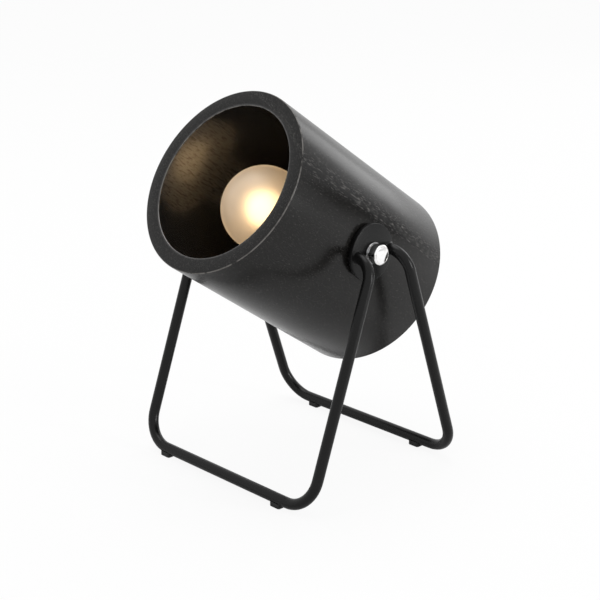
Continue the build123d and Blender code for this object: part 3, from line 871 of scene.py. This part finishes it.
grip = {
    "tip": -93.8, "root": -73.8, "tipRadius": 6.2, "rootRadius": 8.5, "cord": 3.3, "thread": 5.05,
    "threadEnd": -82.4, "edge": 0.8, "edgeSteps": 4, "grooves": 4, "firstGroove": -76.0, "grooveGap": 2.3,
    "groove": [(0.0, 0.0), (0.25, 0.45), (0.75, 0.45), (1.0, 0.0)],      # rise and depth
    "screwHeight": -87.8, "screw": 1.55, "head": 2.45, "seat": 5.69, "headTop": 11.38,
    "steps": 96, "screwSteps": 48, "smooth": 30,
}


def gripRadius(height):
    share = (height - grip["tip"]) / (grip["root"] - grip["tip"])
    return grip["tipRadius"] + (grip["rootRadius"] - grip["tipRadius"]) * share


def makeCordGrip():
    rings = [(grip["cord"], grip["tip"]), (grip["tipRadius"], grip["tip"])]
    for k in reversed(range(grip["grooves"])):
        low = grip["firstGroove"] - grip["grooveGap"] * k
        for rise, depth in grip["groove"]:
            rings.append((gripRadius(low + rise) - depth, low + rise))
    rings += [(grip["rootRadius"], grip["root"]), (grip["thread"], grip["root"]),
              (grip["thread"], grip["threadEnd"]), (grip["cord"], grip["threadEnd"])]
    body = turnPiece("cordGrip", rings, grip["steps"], ("open", "join"))
    bevelRings(body, [(grip["tipRadius"], grip["tip"])], grip["edge"], grip["edgeSteps"])
    cutter = turnPiece("screwCutter", [
        (grip["screw"], 0), (grip["screw"], grip["seat"]), (grip["head"], grip["seat"]),
        (grip["head"], grip["headTop"])], grip["screwSteps"], ("filled", "filled"))
    moveInto(cutter, place(0, 0, grip["screwHeight"]), (-pi / 2, 0, 0))
    cutAway(body, cutter)
    placeHead(body)
    smooth(body, grip["smooth"])
    finishPiece(body, nylon, "shade", "black_nylon", "cord_grip")


makeCordGrip()
print("cord grip done")


# the frame's own nodes that stay, with their finishes

nodeFinishes = {
    "threaded_nipple": zinc, "nipple_star_washer": zinc, "nipple_locknut": zinc, "grip_washer": zinc,
    "cord_grip_screw": nylon, "lampholder_cap": phenolic, "lampholder_shell": phenolic,
    "contact_carrier": ceramic, "contact_sleeve": brass, "centre_contact": brass, "side_contact": brass,
    "terminal_screws": zinc, "bulb_cap": bulbAluminium, "bulb_insulator": blackGlass, "bulb_contact": brass,
    "bulb_stem": stemGlass, "bulb_lead_wires": tungsten, "bulb_filament": tungsten,
    "left_pivot_stud": studZinc, "right_pivot_stud": studZinc, "left_friction_washer": fibre,
    "right_friction_washer": fibre, "left_threaded_insert": brass, "right_threaded_insert": brass,
}
for node, finish in nodeFinishes.items():
    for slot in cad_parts[node].material_slots:
        slot.material = finish.material
print("frame nodes finished")


# light, floor and camera

studio = {                       # the floor, the lamps and the backdrop are in metres
    "white": grey(1.0), "worldLight": 0.80, "floorSize": 16.0, "paper": grey(0.86), "matt": 0.9,
    "floorGlow": 0.90, "floorGloss": 0.15,
    "lamps": {
        "topLight": {"at": (-0.25, 0.10, 1.50), "size": (1.0, 1.0), "power": 6.5},
        "backLight": {"at": (-0.21, 1.60, 0.80), "size": (0.58, 1.0), "power": 2.75},
        "sideLight": {"at": (1.50, 0.58, 0.42), "size": (0.24, 0.80), "power": 9.0},
    },
    "backdrop": {"at": (0.70, 1.36, 0.275), "size": (0.82, 0.23), "turn": -27.2, "colour": grey(0.02)},
    "bulbLight": {"power": 0.0245, "colour": (1.0, 0.70, 0.38), "radius": 12.5},
}


def seenDirectly(tree, gloss=1.0):
    # how far the plain white shows: fully to the camera and through glass, by its share in gloss
    path = tree.nodes.new("ShaderNodeLightPath")
    share = tree.nodes.new("ShaderNodeMath")
    share.operation = "MULTIPLY"
    share.inputs[1].default_value = gloss
    tree.links.new(path.outputs["Is Glossy Ray"], share.inputs[0])
    seen = share.outputs[0]
    for ray in ("Is Camera Ray", "Is Transmission Ray"):
        either = tree.nodes.new("ShaderNodeMath")
        either.operation = "MAXIMUM"
        tree.links.new(seen, either.inputs[0])
        tree.links.new(path.outputs[ray], either.inputs[1])
        seen = either.outputs[0]
    return seen


def makeWorld():
    world = bpy.data.worlds.new("studioWorld")
    bpy.context.scene.world = world
    world.use_nodes = True
    tree = world.node_tree
    lit = tree.nodes["Background"]
    lit.inputs["Color"].default_value = studio["white"]
    lit.inputs["Strength"].default_value = studio["worldLight"]
    plain = tree.nodes.new("ShaderNodeBackground")
    plain.inputs["Color"].default_value = studio["white"]
    plain.inputs["Strength"].default_value = 1.0
    mix = tree.nodes.new("ShaderNodeMixShader")
    tree.links.new(seenDirectly(tree), mix.inputs[0])
    tree.links.new(lit.outputs[0], mix.inputs[1])
    tree.links.new(plain.outputs[0], mix.inputs[2])
    tree.links.new(mix.outputs[0], tree.nodes["World Output"].inputs["Surface"])


def makeFloor():
    deselectAll()
    bpy.ops.mesh.primitive_plane_add(size=studio["floorSize"])
    floor = takeNew("studioFloor")
    paper = Finish("palePaper")
    paper.surface(Base_Color=studio["paper"], Roughness=studio["matt"], Specular_IOR_Level=0.0)
    glow = paper.add("ShaderNodeEmission", None, {"Color": studio["white"], "Strength": 1.0})
    seen = Signal(paper, seenDirectly(paper.tree, studio["floorGloss"]))
    mix = paper.add("ShaderNodeMixShader", None, {
        0: seen * studio["floorGlow"], 1: Signal(paper, paper.shader.outputs[0]), 2: glow})
    paper.tree.links.new(mix.socket, paper.tree.nodes["Material Output"].inputs["Surface"])
    floor.data.materials.append(paper.material)


def standBackdrop():
    # a dark board far behind: only the gloss of the shade shows it, as a soft dark band
    look = studio["backdrop"]
    deselectAll()
    bpy.ops.mesh.primitive_plane_add(
        size=1, location=look["at"], rotation=(pi / 2, 0, radians(look["turn"])))
    bpy.context.object.scale = (*look["size"], 1)
    board = takeNew("darkBackdrop")
    cloth = Finish("darkCloth")
    cloth.surface(Base_Color=look["colour"], Roughness=studio["matt"], Specular_IOR_Level=0.0)
    board.data.materials.append(cloth.material)
    board.visible_camera = False
    board.visible_diffuse = False
    board.visible_transmission = False
    board.visible_shadow = False


def hangLamp(name, look):
    deselectAll()
    bpy.ops.object.light_add(type="AREA", location=look["at"])
    light = bpy.context.object
    light.name = name
    light.data.shape = "RECTANGLE"
    light.data.size, light.data.size_y = look["size"]
    light.data.energy = look["power"]
    aim = Vector(place(*lamp["pivot"])) - Vector(look["at"])
    light.rotation_euler = aim.to_track_quat("-Z", "Y").to_euler()
    light.visible_camera = False


def lightBulb():
    look = studio["bulbLight"]
    deselectAll()
    head = Matrix.Translation(headPlace) @ Matrix.Rotation(headTurn[0], 4, "X")
    bpy.ops.object.light_add(type="POINT", location=head @ Vector(place(0, 0, bulb["centre"])))
    light = bpy.context.object
    light.name = "bulbLight"
    light.data.energy = look["power"]
    light.data.color = look["colour"]
    light.data.shadow_soft_size = look["radius"] * mm
    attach(light, "bulb")


view = {
    "azimuth": 45.91, "elevation": 18.12, "roll": 0.23, "distance": 969.83,
    "lookAt": (0.14, 2.757, 106.63), "focal": 1503.53, "picture": 600, "sensor": 36.0,
    "clip": (0.05, 50),          # metres
}


def aimCamera():
    a, e, r = (radians(view[k]) for k in ("azimuth", "elevation", "roll"))
    back = Vector((sin(a) * cos(e), -cos(a) * cos(e), sin(e)))
    level = Vector((cos(a), sin(a), 0))
    up = back.cross(level)
    across = level * cos(r) + up * sin(r)
    up = back.cross(across)
    deselectAll()
    bpy.ops.object.camera_add(location=Vector(place(*view["lookAt"])) + back * view["distance"] * mm)
    camera = bpy.context.object
    camera.name = "mainCamera"
    camera.rotation_euler = Matrix((across, up, back)).transposed().to_euler()
    camera.data.sensor_width = view["sensor"]
    camera.data.lens = view["focal"] / view["picture"] * view["sensor"]
    camera.data.clip_start, camera.data.clip_end = view["clip"]
    bpy.context.scene.camera = camera


makeWorld()
makeFloor()
standBackdrop()
for name, look in studio["lamps"].items():
    hangLamp(name, look)
lightBulb()
aimCamera()
deselectAll()
bpy.context.scene.view_settings.view_transform = "Standard"
print("studio ready")
